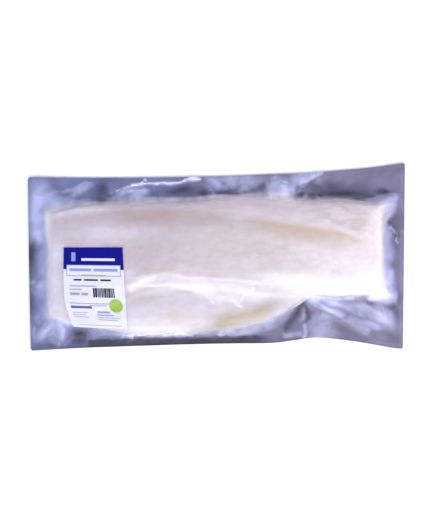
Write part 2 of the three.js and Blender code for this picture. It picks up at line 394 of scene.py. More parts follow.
broad_noise = Noise(SEED)
fine_noise = Noise(SEED + 1)


def facets(x, y, height, spacing_x, spacing_y, seed):
    """Flat random facets between sharp creases, as far up as down."""
    draw = np.random.default_rng(seed)
    half_x, half_y = FACET_HALF
    count = int(4 * half_x * half_y / (spacing_x * spacing_y))
    points = draw.uniform((-half_x, -half_y), (half_x, half_y), (count, 2))
    points = [Vector(p) for p in points.tolist() + FACET_OUTER]
    scaled = [Vector((p.x / spacing_x, p.y / spacing_y)) for p in points]
    triangles = geometry.delaunay_2d_cdt(scaled, [], [], 0, FACET_MERGE)[2]
    heights = draw.uniform(-1, 1, len(points))
    tree = BVHTree.FromPolygons(
        [Vector((p.x, p.y, h)) for p, h in zip(points, heights)], [tuple(t) for t in triangles]
    )
    down = Vector((0, 0, -1))
    flat = [
        (tree.ray_cast(Vector((px, py, FACET_RAY_START)), down)[0] or Vector((0, 0, 0))).z
        for px, py in zip(x.ravel(), y.ravel())
    ]
    return height * np.array(flat).reshape(x.shape)


def wander(x, y):
    """A place moved a little aside, so that what is drawn there gets an angular outline."""
    aside = facets(x, y, *WANDER_FACETS_X) + fine_noise(x, y, *WANDER_WAVES_X)
    up = facets(x, y, *WANDER_FACETS_Y) + fine_noise(x, y, *WANDER_WAVES_Y)
    return x + aside, y + up


def near_spot(x, y, centre, radius_x, radius_y):
    """1 at a place, fading out around it."""
    return np.exp(-(((x - centre[0]) / radius_x) ** 2) - ((y - centre[1]) / radius_y) ** 2)


# How far a line fades to each side of its ends
LINE_FADE = 16


def near_line(x, y, line, start, end, width):
    """1 on a line y(x) between two x, fading over a width beside it and at its ends."""
    return bell(y - line(x), width) * span(x, start, end, LINE_FADE, LINE_FADE)


def along_line(x, y, start, end):
    """The share of the way along a straight line, and how far to the left of it a place lies."""
    run_x = end[0] - start[0]
    run_y = end[1] - start[1]
    along = ((x - start[0]) * run_x + (y - start[1]) * run_y) / (run_x**2 + run_y**2)
    along = np.clip(along, 0, 1)
    left = np.sign(run_x * (y - start[1]) - run_y * (x - start[0]))
    return along, left * np.hypot(x - start[0] - along * run_x, y - start[1] - along * run_y)


def streak(x, y, start, end, left_width, right_width):
    """1 on a straight line, fading out over one width to its left and another to its right."""
    aside = along_line(x, y, start, end)[1]
    return bell(aside, np.where(aside > 0, left_width, right_width))


def strongest(shape, place, rows):
    """The most that any row of a table gives at a place; a row's last value is its strength."""
    return np.maximum.reduce([strength * shape(*place, *row) for *row, strength in rows])


# The share of a crease's length over which it fades out at each end
RIDGE_FADE = 0.2


def ridge(x, y, start, end, height, half_width):
    """A fold of film with a sharp crest, fading out at both ends."""
    along, aside = along_line(x, y, start, end)
    fade = ramp(along, 0, RIDGE_FADE) * ramp(along, 1, 1 - RIDGE_FADE)
    return height * fade * np.clip(1 - np.abs(aside) / half_width, 0, 1)


# Creases of the film that show in the photograph: start, end, height and half width
CREASES = [
    ((-111, 83), (-110, 62), 1.2, 2.5), ((-138, 83), (-134, 66), 1.0, 2.5),
    ((88, 62), (114, 90), 0.5, 3), ((86, 64), (84, 88), 1.2, 3), ((96, -45), (138, -66), 0.6, 4),
    ((128, -64), (166, -84), 0.6, 3), ((95, -66), (93, -88), 0.7, 3),
    ((170, -46), (177, -68), 0.8, 2.5), ((-160.5, -84), (-161, -99), 0.8, 1.5),
    ((-136.5, -79), (-137, -99), 0.8, 1.5), ((62, -64), (74, -84), 0.5, 2.5),
]
# Short folds that are drawn so tight that they shine: start, end and half width
SHINING_FOLDS = [
    ((-106, 70.5), (-97, 73.3), 1.0), ((-98, 73), (-87, 76.2), 1.3), ((-88, 76), (-77, 78.4), 1.6),
    ((-80, 78.5), (-76, 82), 1.4), ((-78, 78.4), (-63, 78.8), 1.3), ((-65, 78.8), (-50, 79), 1.3),
    ((-52, 79), (-36, 78.9), 1.3), ((-33, 80.5), (-25, 81.5), 2.6), ((-28, 82.7), (-20, 82.7), 2.2),
    ((62, 79.6), (72, 79.6), 0.9), ((71, 79.3), (80, 77.6), 1.1), ((180, 30), (186, 31.5), 0.6),
    ((186.5, 30), (189, 25), 0.5), ((190, 20.5), (191.5, 13.5), 0.5), ((-99, -83.2), (-90, -83.8), 1.9),
    ((-90, -81.5), (-77, -82), 1.1), ((-75, -81.5), (-58, -82), 1.0), ((-56, -82), (-38, -81.7), 0.9),
    ((-37, -82.3), (-26, -82.5), 1.1),
]
# How steeply a shining fold rises along +Y on either side of the fish, and least and most along +X
FOLD_RISE_FAR = 0.34
FOLD_RISE_NEAR = 0.24
FOLD_RISE_X = (-0.2, 0.02)
# How far a shining fold reaches as it fades into the film round it, in half widths
FOLD_REACH = 2.3


def fold_share(place, start, end, half_width):
    """1 on a shining fold, fading to 0 round it."""
    aside = np.abs(along_line(*place, start, end)[1])
    return ramp(aside, FOLD_REACH * half_width, half_width)


def fold_tilt(start, end):
    """How steeply a shining fold rises along +X and +Y; it is level along its own line where it can be."""
    rise_y = FOLD_RISE_FAR if start[1] > 0 else FOLD_RISE_NEAR
    level_x = -rise_y * (end[1] - start[1]) / (end[0] - start[0])
    return np.clip(level_x, *FOLD_RISE_X), rise_y


def with_shining_folds(top, x, y, place):
    """The film's height, with each shining fold made flat and tilted."""
    for start, end, half_width in SHINING_FOLDS:
        share = fold_share(place, start, end, half_width)
        mid_x, mid_y = lerp(np.array(start), np.array(end), 0.5)
        level = np.average(top, weights=share)
        rise_x, rise_y = fold_tilt(start, end)
        tilted = level + rise_x * (x - mid_x) + rise_y * (y - mid_y)
        top = lerp(top, tilted, share)
    return top


# Points round the fish's edge: how far apart, and how many to each side give its direction
OUTLINE_STEP = 4.0
OUTLINE_LOOK = 3


def fish_outline():
    """Points round the fish's edge, with the outward direction at each."""
    step = OUTLINE_STEP
    xs = np.arange(FISH_LEFT, FISH_RIGHT + 1, step)
    near = fish_near(xs)
    ring = list(zip(xs, loin_far(xs)))
    ring += [(FISH_RIGHT, y) for y in np.arange(loin_far(FISH_RIGHT) - step, near[-1], -step)]
    ring += list(zip(xs[::-1], near[::-1]))
    ring += [(FISH_LEFT, y) for y in np.arange(near[0] + step, loin_far(FISH_LEFT), step)]
    ring = np.array(ring)
    run = np.roll(ring, -OUTLINE_LOOK, 0) - np.roll(ring, OUTLINE_LOOK, 0)
    out = np.stack([-run[:, 1], run[:, 0]], -1)
    return ring, out / np.linalg.norm(out, axis=1)[:, None]


# Random creases: start inside the fish's edge, turn aside, outline points between two, height, half width
CREASE_START = 3
CREASE_TURN = 0.5
CREASE_APART = (2.0, 6.0)
CREASE_HEIGHT = (0.1, 0.45)
CREASE_HALF_WIDTH = (2.2, 4.5)
# Their length: the step it grows by, how near it comes to the rim, its limits and the share that is kept
CREASE_STEP = 2
CREASE_OFF_RIM = 3
CREASE_LENGTH = (4, 40)
CREASE_KEPT = (0.6, 1.0)


def random_creases(draw):
    """Small folds that run out from the fish's edge towards the weld."""
    ring, out = fish_outline()
    shortest, longest = CREASE_LENGTH
    creases = []
    i = 0.0
    while i < len(ring):
        place = ring[int(i)]
        turn = draw.uniform(-CREASE_TURN, CREASE_TURN)
        cos = math.cos(turn)
        sin = math.sin(turn)
        way = np.array([[cos, -sin], [sin, cos]]) @ out[int(i)]
        length = 0.0
        while length < longest and in_from_rim(*(place + way * (length + CREASE_STEP))) > CREASE_OFF_RIM:
            length += CREASE_STEP
        length *= draw.uniform(*CREASE_KEPT)
        if length > shortest:
            height = draw.uniform(*CREASE_HEIGHT)
            half_width = draw.uniform(*CREASE_HALF_WIDTH)
            creases.append((place - way * CREASE_START, place + way * length, height, half_width))
        i += draw.uniform(*CREASE_APART)
    return creases


# The membrane between loin and flap, its white painted glare off the film: its two edges, and how it fades
# across and along them
membrane_near = curve([
    (-92, -36), (-76, -30), (-57, -28.6), (-43, -29.7), (-23, -34), (4, -41), (22, -45),
])
membrane_far = curve([
    (-94, -20), (-66, -17), (-45, -19), (-28, -22.3), (4, -23.3), (36, -26.5), (57, -29.7),
])
MEMBRANE_NEAR_RAMP = (-1, 2)
MEMBRANE_FAR_RAMP = (1, -2)
MEMBRANE_SPAN = (-86, 30)
MEMBRANE_FADE = 8
MEMBRANE_GLARE_WHITE = 0.4
# Its whiter edges, painted glare: the line, start, end, width and how white they are
MEMBRANE_GLARE_EDGES = [(membrane_near, -86, 16, 2.2, 0.8), (membrane_far, -58, 52, 2.4, 0.6)]
# Its torn strands, painted glare: start, end, how far they fade left and right, and how white
GLARE_STRANDS = [
    ((-88, -33), (-66, -22), 5, 5, 0.75), ((-20, -34), (4, -41), 5.5, 5.5, 0.75),
    ((-14, -38), (-4, -47), 2, 2, 0.75), ((4, -41), (20, -44), 4, 4, 0.75),
    ((18, -44), (25, -51), 2, 2, 0.75), ((24, -47), (38, -33), 1.8, 1.8, 0.75),
]


def membrane_glare(x, y):
    """How white the membrane between loin and flap is, from 0 to 1: painted glare off the film."""
    place_x = x + fine_noise(x, y, *MEMBRANE_WAVES_X)
    place_y = y + fine_noise(x, y, *MEMBRANE_WAVES_Y)
    between = ramp(place_y - membrane_near(x), *MEMBRANE_NEAR_RAMP)
    between = between * ramp(place_y - membrane_far(x), *MEMBRANE_FAR_RAMP)
    return np.maximum.reduce([
        MEMBRANE_GLARE_WHITE * between * span(x, *MEMBRANE_SPAN, MEMBRANE_FADE, MEMBRANE_FADE),
        strongest(near_line, (x, place_y), MEMBRANE_GLARE_EDGES),
        strongest(streak, (place_x, place_y), GLARE_STRANDS),
    ])


# Flakes: how far below the seam they bend, their lean and width, and their seams' depth and limits
FLAKE_BEND = 30
FLAKE_LEAN = 0.55
FLAKE_WIDTH = 8.5
FLAKE_DEPTH = 0.16
FLAKE_RAMP = (0.72, 1.0)
# Where the bumps of the back strip start, across it from the seam and along it
STRIP_ACROSS_RAMP = (0, 14)
STRIP_ALONG_RAMP = (60, 110)
# A ripple near the far corner: centre, radius, width, height, turn to a mm and where it starts
RIPPLE_CENTRE = (145, 36)
RIPPLE_RADIUS = 13
RIPPLE_WIDTH = 7
RIPPLE_HEIGHT = 0.25
RIPPLE_TURN = 0.7
RIPPLE_RAMP = (142, 156)
MEMBRANE_HEIGHT = 0.6
# Small pits in the flesh: depth, then centre and radius of each
PIT_DEPTH = 0.7
PITS = [
    ((92, -4), 3), ((104, -8), 2.5), ((115, -3), 3), ((121, -13), 2.5), ((133, -8), 3.5),
    ((141, 1), 2.5),
]
# How far inside the fish's edge its relief starts, and how much of it shows in the film
RELIEF_RAMP = (0, 8)
CLING = 0.7


def flesh_relief(x, y):
    """Flake seams, soft lumps and torn membrane of the flesh under the film, in mm."""
    bend = np.abs(y - seam_line(x) + FLAKE_BEND)
    phase = (x + FLAKE_LEAN * bend + broad_noise(x, y, *FLAKE_WAVES)) / FLAKE_WIDTH
    seam = np.abs((phase % 1) - 0.5) * 2
    flakes = -FLAKE_DEPTH * ramp(seam, *FLAKE_RAMP)
    lumps = broad_noise(x, y, *LUMPS) + fine_noise(x, y, *FINE_LUMPS)
    strip = ramp(y - seam_line(x), *STRIP_ACROSS_RAMP) * ramp(x, *STRIP_ALONG_RAMP)
    bumps = strip * (fine_noise(x, y, *STRIP_BUMPS) + fine_noise(x, y, *STRIP_FINE_BUMPS))
    off_ring = np.hypot(x - RIPPLE_CENTRE[0], y - RIPPLE_CENTRE[1]) - RIPPLE_RADIUS
    ripple = RIPPLE_HEIGHT * np.cos(off_ring * RIPPLE_TURN) * bell(off_ring, RIPPLE_WIDTH)
    ripple = ripple * ramp(x, *RIPPLE_RAMP)
    pits = sum(near_spot(x, y, centre, radius, radius) for centre, radius in PITS)
    return flakes + lumps + bumps + ripple + MEMBRANE_HEIGHT * membrane_glare(x, y) - PIT_DEPTH * pits


def flesh_top(solid_top, x, y):
    """The fish's upper face: pressed to the film, and round at its own edge."""
    inside = in_from_edge(x, y)
    pressed = solid_top - FILM_GAP + flesh_relief(x, y) * ramp(inside, *RELIEF_RAMP)
    rise = np.clip(inside / FISH_SIDE, 0, 1)
    share = np.sqrt(np.clip(1 - (1 - rise) ** 2, 0, 1))
    least = FISH_BASE + FISH_EDGE
    return least + np.maximum(pressed - least, 0) * lerp(FISH_SIDE_START, 1, share)


# Pockets of slack film, raised and milky: start, end, how far they fade left and right, and how milky
POCKETS = [
    ((-193, -28), (-184, -33), 5, 5, 0.6), ((-164, -62), (-165, -84), 6, 11, 1.0),
    ((-193, -76), (-192, -85), 4, 4, 0.4), ((-162, 68), (-138, 78.5), 3, 7, 0.7),
    ((-5, 82), (2, 75), 5, 6, 0.7), ((16, 79), (46, 80), 9, 8, 0.55), ((60, 75), (79, 71), 10, 11, 1.0),
    ((84, 70), (97, 76), 7, 3, 0.45), ((89, 77), (113, 90.5), 14, 3, 0.8),
    ((168, 49), (185, 55.5), 4, 7, 1.0), ((186, 56.5), (181, 42), 4, 5, 0.85),
    ((166, -39), (184, -42), 8, 6, 1.0), ((136, -50), (172, -60), 6, 8, 0.15),
    ((172, -64), (180, -69), 4, 5, 0.6), ((98, -44), (132, -61), 6, 4, 0.8),
    ((140, -66), (160, -77), 5, 5, 0.5), ((96, -72), (92, -86), 3, 3, 0.5),
]
# Film that is milky without standing up, in the same way
CLOUDS = [
    ((-187, 72), (-188.5, 20), 11, 11.5, 0.95), ((-178, 45), (-178, -30), 9, 12, 0.85),
    ((-189, -64), (-184, -78), 7, 6, 0.35), ((-178, -28), (-172, -68), 9, 12, 0.9),
    ((-172, 60), (-154, 58), 6, 6, 0.5), ((-174, -56), (-154, -70), 8, 8, 0.95),
    ((-104, 67), (-78, 70), 6, 9, 0.85), ((58, 68), (80, 66), 12, 8, 1.0),
    ((177, 42), (177, 0), 8, 6, 0.85), ((177, 0), (177, -38), 8, 7, 0.95),
    ((166, 46), (182, 51), 4, 8, 0.95), ((104, -44), (126, -48), 5, 6, 0.9),
    ((126, -48), (160, -52), 8, 12, 0.6), ((110, -70), (106, -90), 18, 12, 0.55),
    ((142, -66), (170, -74), 6, 6, 0.55), ((54, -71), (74, -58), 5, 7, 0.65),
    ((4, -79), (46, -75), 4, 5, 0.7), ((-118, -80), (-100, -81.5), 3, 3, 0.6),
    ((-70, -83.5), (-34, -83), 2.5, 2.5, 0.5), ((-8, 82), (36, 84), 6, 6, 0.55),
    ((-6, 74), (12, 74), 4, 4, 0.5), ((182, -18), (184, -36), 6, 6, 0.9),
    ((108, -42.5), (142, -43.5), 3.5, 5, 0.95), ((162, -44), (177, -43), 4, 6, 0.95),
    ((74, -82), (88, -82), 4, 4, 0.5),
]
POCKET_RISE = 0.8
# Where the film's slackness starts, from inside the fish's edge outwards and from the rim inwards
SLACK_RAMP = (9, -2)
WELD_RAMP = (0.5, WELD)


def film_top(solid_top, solid_base, x, y, place):
    """The film's outer face: the solid's, with the pockets and creases of its slack margins."""
    inside = in_from_edge(x, y)
    margin = ramp(inside, *SLACK_RAMP)
    weld = ramp(in_from_rim(x, y), *WELD_RAMP)
    bare = 1 - on_label(x, y)
    ridges = [ridge(*place, *crease) for crease in CREASES + random_creases(random.Random(SEED))]
    slack = np.maximum(np.maximum.reduce(ridges), POCKET_RISE * strongest(streak, place, POCKETS))
    crumple = facets(x, y, *CRUMPLE) + facets(x, y, *FINE_CRUMPLE)
    cling = flesh_relief(x, y) * CLING * ramp(inside, *RELIEF_RAMP) * bare
    fine = facets(x, y, *FISH_FACETS) * (1 - margin) * bare
    top = solid_top + (slack + crumple) * margin * weld * bare + cling + fine
    return np.maximum(with_shining_folds(top, x, y, place), solid_base + FILM_LEAST_GAP)


# How high the film stands where its slope beside the fish starts to look milky, and where it is most so
SLOPE_RAMP = (0.8, 6.0)
# How milky that slope is along the far side, the near side and the ends, and where those start
FAR_VEIL = 0.75
NEAR_VEIL = 0.45
END_VEIL = 0.75
NEAR_RAMP = (20, 45)
END_RAMP = (158, 176)
# How milky the film is over the fish, at most, and on shining folds, where the pale milk is painted
# highlight that brightens their glints
VEIL_ON_FISH = 0.05
VEIL_MOST = 0.9
FOLD_PAINTED_GLINT = 0.55
# In from the fish's edge: where film counts as over the fish, and where pockets and dark places start
VEIL_EDGE_RAMP = (-1, 5)
CLOUD_EDGE_RAMP = (13, 0)
DARK_EDGE_RAMP = (3, -2)
# Where the finer facets of the long sides start, from either end
LONG_SIDE_RAMP = (175, 150)
# How soft the film's gloss is: over the fish, on its bare margins, on milky film and on shining folds
HAZE_ON_FISH = 0.55
HAZE = 0.5
HAZE_MILKY = 0.55
HAZE_SHARP = 0.16


def film_haze(place, veil, margin):
    """How soft the film's gloss is: sharpest on its shining folds."""
    haze = lerp(HAZE_ON_FISH, lerp(HAZE, HAZE_MILKY, veil), margin)
    for fold in SHINING_FOLDS:
        haze = lerp(haze, HAZE_SHARP, fold_share(place, *fold))
    return haze


def slope_veil(x, y, stand):
    """How milky the film's slope beside the fish is."""
    most = lerp(FAR_VEIL, NEAR_VEIL, ramp(-y, *NEAR_RAMP))
    most = lerp(most, END_VEIL, ramp(np.abs(x), *END_RAMP))
    return most * ramp(stand, *SLOPE_RAMP)


def film_veil(x, y, place, stand):
    """How milky the film is, from 0 to 1, with painted highlight on the shining folds."""
    inside = in_from_edge(x, y)
    over_fish = ramp(inside, *VEIL_EDGE_RAMP)
    clouds = ramp(inside, *CLOUD_EDGE_RAMP) * strongest(streak, place, POCKETS + CLOUDS)
    milky = np.maximum(slope_veil(x, y, stand) * (1 - over_fish), clouds)
    # Painted shade also takes the pale veil out of the film above it
    milky *= 1 - dark_and_shade(x, y, place) * ramp(inside, *DARK_EDGE_RAMP)
    # Painted highlight: pale milk on each shining fold
    for fold in SHINING_FOLDS:
        milky = np.maximum(milky, FOLD_PAINTED_GLINT * fold_share(place, *fold))
    long_sides = ramp(np.abs(x), *LONG_SIDE_RAMP)
    milky *= 1 + facets(x, y, *VEIL_FACETS) + long_sides * facets(x, y, *SIDE_FACETS)
    return np.maximum(VEIL_MOST * np.clip(milky, 0, 1), VEIL_ON_FISH * over_fish)


# Colours of milky pockets and of film against the fish, left and right, and where they change
MILKY = (srgb(186, 193, 236), srgb(197, 200, 244))
AT_FISH = (srgb(232, 226, 238), srgb(253, 251, 255))
AT_FISH_FAR = srgb(246, 236, 246)
MILK_RAMP = (-120, 100)
FAR_RAMP = (20, 60)
# How far out that film reaches, least and most, where the near right corner starts, and where it is full
AT_FISH_REACH = (3, 10)
CORNER_X_RAMP = (150, 170)
CORNER_Y_RAMP = (15, 35)
AT_FISH_INSIDE = 3


def milk_tones(x, y):
    """The colour of the film's veil: bluer at the label's end, paler against the fish."""
    rightward = ramp(x, *MILK_RAMP)[..., None]
    milk = lerp(*MILKY, rightward)
    at_fish = lerp(*AT_FISH, rightward)
    farther = ramp(y, *FAR_RAMP)
    at_fish = lerp(at_fish, AT_FISH_FAR, farther[..., None])
    at_corner = ramp(x, *CORNER_X_RAMP) * ramp(-y, *CORNER_Y_RAMP)
    reach = lerp(*AT_FISH_REACH, np.maximum(farther, at_corner))
    return lerp(milk, at_fish, ramp(in_from_edge(x, y), -reach, AT_FISH_INSIDE)[..., None])


# Colours of the bag's back, left and right, and where it is darkest, painted shade and shadow of the fish
# and the film's folds for the most part: centre, radii and strength
BACK = (srgb(93, 102, 152), srgb(99, 92, 120))
BACK_DARK = srgb(42, 42, 70)
BACK_RAMP = (-120, 60)
DARK_AND_SHADE_PLACES = [
    ((-198, 0), 7, 24, 1.0), ((-196, -48), 6, 16, 0.7), ((-194, -54), 6, 12, 0.3),
    ((-144, -83), 14, 12, 1.0), ((-116, -86), 14, 4, 0.6), ((-122, 61), 16, 4, 0.85),
    ((-122, 72), 14, 11, 0.85), ((-36, 71), 20, 5, 0.9), ((16, 67.8), 25, 2.6, 0.8),
    ((-11, 67.5), 9, 4, 0.85), ((86, 73), 3, 10, 0.45), ((110, 64), 6, 3, 0.9),
    ((-162, 66), 12, 5, 0.5), ((48, 76), 5, 6, 0.7), ((101, 64), 10, 7, 0.85), ((103, 71), 8, 6, 0.85),
    ((90, 64), 6, 3.5, 0.9), ((150, 61), 14, 4, 0.8), ((133, 67), 34, 10, 0.9), ((159, 64), 9, 4, 0.8),
    ((185, 37), 5, 5, 0.8), ((190, 28), 5, 20, 0.5), ((193, -46), 4, 8, 0.7), ((192, -60), 5, 18, 0.5),
    ((160, -48.5), 8, 3, 0.6), ((187, -85), 10, 8, 0.45), ((-176, -95), 16, 3.5, 0.6),
    ((-168, -88), 9, 5, 0.4), ((126, -72), 5, 6, 0.3), ((188, -52), 6, 4.5, 0.85),
    ((106, 74), 10, 6, 0.85), ((122, 75), 18, 7, 0.7), ((56, 80), 4, 5, 0.5), ((31, 69), 7, 3, 0.7),
    ((177, 68), 12, 4, 0.9), ((150, -47), 10, 3, 0.4), ((-172, 72), 11, 6, 0.5),
    ((-113, 66), 8, 5, 0.75),
]
# Painted shade in the valleys between folds: start, end, how far they fade left and right, and strength
SHADED_VALLEYS = [
    ((91, -48), (80, -60), 6, 3, 1.0), ((80, -60), (74, -75), 6, 3, 0.8),
    ((95, -51), (97, -66), 3, 4, 0.7),
]
# The dark strip along the near weld: its ends, how each fades, how wide it is, and its upper edge
DARK_STRIP = (-138, 54)
DARK_STRIP_FADES = (6, 14)
DARK_STRIP_WIDTH = 8.5
DARK_STRIP_RAMP = (1.0, -1.5)
# The faint dark line along the weld's inner edge
WELD_DARK = 0.25
WELD_LINE_WIDTH = 0.8
# The paler weld of the right-hand end: colour, strength, and where it starts along and across the bag
WELD_PALE = srgb(140, 134, 172)
WELD_PALE_SHARE = 0.5
WELD_PALE_X_RAMP = (110, 160)
WELD_PALE_RIM_RAMP = (6, 2)
# Darker patches all over: strength, and which facets are patches
PATCH_DARK = 0.5
PATCH_RAMP = (-0.3, 0.6)


def dark_strip(x, y):
    """1 on the dark strip, which has a ragged upper edge."""
    ragged = DARK_STRIP_WIDTH + fine_noise(x, y, *DARK_STRIP_WAVES)
    across = ramp(y - bag_near(x) - ragged, *DARK_STRIP_RAMP)
    return across * span(x, *DARK_STRIP, *DARK_STRIP_FADES)


def dark_and_shade(x, y, place):
    """How dark the bag's back is, from 0 to 1: the dark strip, and painted shade and shadow."""
    return np.maximum.reduce([
        dark_strip(x, y), strongest(near_spot, place, DARK_AND_SHADE_PLACES), strongest(streak, place, SHADED_VALLEYS)
    ])


def back_tones(x, y, place):
    """The colour of the bag's back film, with painted shade."""
    tint = lerp(*BACK, ramp(x, *BACK_RAMP)[..., None])
    rim = in_from_rim(x, y)
    paler = WELD_PALE_SHARE * ramp(x, *WELD_PALE_X_RAMP) * ramp(rim, *WELD_PALE_RIM_RAMP)
    tint = lerp(tint, WELD_PALE, paler[..., None])
    patchy = PATCH_DARK * ramp(facets(x, y, *BACK_FACETS), *PATCH_RAMP)
    weld_line = WELD_DARK * bell(rim - WELD, WELD_LINE_WIDTH)
    dark = np.maximum(np.maximum(patchy, weld_line), dark_and_shade(x, y, place))
    return lerp(tint, BACK_DARK, dark[..., None])


# Colours of the flesh, and of the shade, light and glare painted on it
FLESH_LEFT = srgb(187, 175, 183)
FLESH = srgb(197, 187, 190)
STRIP = srgb(202, 191, 199)
# Grey: painted shade in the groove below the seam, and grey marks on the back strip
GREY_SHADE_AND_MARKS = srgb(172, 153, 146)
# Tan: the seam's own tan, with painted shade in a broad band below it
TAN_AND_SHADE = srgb(188, 165, 138)
# Painted shade: the far strip and the loin's near slope made darker
FLESH_PAINTED_SHADE = srgb(190, 178, 184)
FLAP = srgb(209, 205, 213)
# Painted shadow on the flap under the loin's edge
FLAP_PAINTED_SHADOW = srgb(178, 166, 170)
FLAP_TAN = srgb(149, 127, 55)
FLAP_PINK = srgb(201, 186, 190)
SMEAR = srgb(196, 174, 146)
# Painted glare: white where light glares off the film, on the loin's near slope, the flap's edge and the
# right end
PAINTED_GLARE = srgb(250, 248, 250)
# Painted light: the loin made lighter towards its right end
PAINTED_LIGHT_RIGHT = srgb(232, 224, 230)
LEFT_END = srgb(219, 218, 230)
# Painted glare: the white of the membrane between loin and flap
MEMBRANE_GLARE = srgb(250, 250, 255)
# Where FLESH takes over, which noise gives grey marks, the mean of uneven marks and the flap's tan line
FLESH_RAMP = (-85, 15)
GREY_MARK_RAMP = (0.4, 0.05)
UNEVEN_MEAN = 0.75
flap_line = curve([(-8, -72.5), (9, -67.5), (35.5, -61), (57, -52), (70, -43)])


# Places on the flesh: functions of x and y, about 1 where a mark lies and 0 elsewhere
def by_x(*limits):
    return lambda x, y: ramp(x, *limits)


def by_y(*limits):
    return lambda x, y: ramp(y, *limits)


def past(line, *limits):
    """Past a line, towards +Y or, if the limits fall, towards -Y."""
    return lambda x, y: ramp(y - line(x), *limits)


def stripe(line, aside, width):
    """Beside a line, all along it."""
    return lambda x, y: bell(y - line(x) - aside, width)


def band(line, aside, start, end, width):
    """Beside a line, between two ends."""
    return lambda x, y: near_line(x, y, lambda a: line(a) + aside, start, end, width)


def spot(centre, radius_x, radius_y):
    return lambda x, y: near_spot(x, y, centre, radius_x, radius_y)


def uneven(x, y):
    return UNEVEN_MEAN + broad_noise(x, y, *UNEVEN_WAVES)


def grey_marks(x, y):
    return ramp(np.abs(fine_noise(x, y, *GREY_MARK_WAVES)), *GREY_MARK_RAMP)


# Marks on the flesh, painted shade, shadow, light and glare among them, laid one over the other: colour,
# strength, and the places whose overlap they cover
FLESH_MARKS = [
    # Painted light towards the right end
    (PAINTED_LIGHT_RIGHT, 0.8, by_x(42, 160)),
    # Painted glare at the right end
    (PAINTED_GLARE, 0.6, by_x(162, 175)),
    (STRIP, 0.8, past(seam_line, -3, 6), by_x(170, 140)),
    # Grey marks on the back strip, then painted shade in the groove below the seam
    (GREY_SHADE_AND_MARKS, 0.35, grey_marks, past(seam_line, -3, 6), by_x(70, 120), by_x(165, 145)),
    (GREY_SHADE_AND_MARKS, 0.9, uneven, band(seam_line, -5, -100, 10, 9)),
    # The seam's tan line, painted shade in a broad band below it, and a tan spot
    (TAN_AND_SHADE, 0.65, band(seam_line, -4, 34, 152, 4)),
    (TAN_AND_SHADE, 0.55, uneven, band(seam_line, -10, 50, 148, 8)),
    (TAN_AND_SHADE, 0.4, spot((151, 36), 9, 6)),
    # Painted shade on the far strip
    (FLESH_PAINTED_SHADE, 0.6, spot((62, 49), 26, 9)),
    (FLESH_PAINTED_SHADE, 0.5, spot((15, 54), 36, 7)),
    (FLAP, 0.8, past(loin_near, 4, -4), by_x(100, 60)),
    # Painted shadow under the loin's edge
    (FLAP_PAINTED_SHADOW, 0.8, spot((-86, -42.5), 18, 6)),
    (FLAP_TAN, 0.95, uneven, band(flap_line, 0, -4, 62, 9)),
    (FLAP_PINK, 0.8, spot((-41, -62), 16, 9)),
    # Painted shade on the loin's near slope
    (FLESH_PAINTED_SHADE, 0.8, band(loin_near, 14, -60, 40, 9)),
    # Painted glare along the flap's edge
    (PAINTED_GLARE, 0.7, band(flap_near, 4, -92, -30, 6)),
    (LEFT_END, 0.9, by_x(-150, -174), by_y(40, 0)),
    (LEFT_END, 0.65, spot((-115, 24), 42, 9)),
    (LEFT_END, 0.7, band(loin_far, -4, -190, -116, 4)),
    (LEFT_END, 0.5, spot((-91, -18), 7, 8)),
    (SMEAR, 0.95, uneven, spot((-58, -14), 13, 3)),
    # Painted glare on the loin's near slope
    (PAINTED_GLARE, 0.8, by_x(15, 100), stripe(loin_near, 7, 11)),
    # Painted glare: a white spot and the membrane's white
    (MEMBRANE_GLARE, 0.5, spot((42, -42), 18, 5)),
    (MEMBRANE_GLARE, 0.75, membrane_glare),
]


def flesh_tones(x, y):
    """The flesh's broad colours, with painted shade, light and glare."""
    tint = lerp(FLESH_LEFT, FLESH, ramp(x, *FLESH_RAMP)[..., None])
    for colour, weight, *places in FLESH_MARKS:
        for place in places:
            weight = weight * place(x, y)
        tint = lerp(tint, colour, weight[..., None])
    mottle = broad_noise(x, y, *MOTTLE) + fine_noise(x, y, *FINE_MOTTLE)
    return np.minimum(tint * (1 + mottle)[..., None], 1)


class Look:
    """A new material and its nodes."""

    def __init__(self, name):
        self.material = bpy.data.materials.new(name)
        self.material.use_nodes = True
        self.tree = self.material.node_tree
        self.tree.nodes.clear()

    def node(self, kind, **inputs):
        """A shader node with its named inputs set, or linked to another node's output."""
        made = self.tree.nodes.new("ShaderNode" + kind)
        for name, value in inputs.items():
            name = name.replace("_", " ")
            if isinstance(value, bpy.types.NodeSocket):
                self.link(value, made, name)
            else:
                made.inputs[name].default_value = value
        return made

    def link(self, output, node, socket):
        self.tree.links.new(output, node.inputs[socket])

    def attribute(self, name, output):
        """A number or colour that comes with the piece."""
        made = self.node("Attribute")
        made.attribute_name = name
        return made.outputs[output]

    def place(self):
        """A place in the part's frame."""
        return self.node("TexCoord").outputs["Object"]

    def noise(self, **inputs):
        return self.node("TexNoise", Vector=self.place(), **inputs).outputs["Fac"]

    def bump(self, height, **inputs):
        return self.node("Bump", Height=height, **inputs).outputs["Normal"]

    def grained_tone(self, noise, darkest, lightest):
        """The piece's own colours, made a little darker and lighter by noise."""
        limits = {"From_Min": 0.3, "From_Max": 0.7, "To_Min": darkest, "To_Max": lightest}
        grain = self.node("MapRange", Value=noise, **limits)
        tone = self.node("VectorMath", Vector=self.attribute("tone", "Color"))
        tone.operation = "SCALE"
        self.link(grain.outputs["Result"], tone, "Scale")
        return tone.outputs["Vector"]

    def mix(self, share, first, second):
        """Two shaders, the second one with a share from 0 to 1."""
        made = self.node("MixShader", Fac=share)
        self.link(first.outputs[0], made, 1)
        self.link(second.outputs[0], made, 2)
        return made

    def finished(self, shader):
        """The material, with a shader as its surface."""
        self.node("OutputMaterial", Surface=shader.outputs[0])
        return self.material


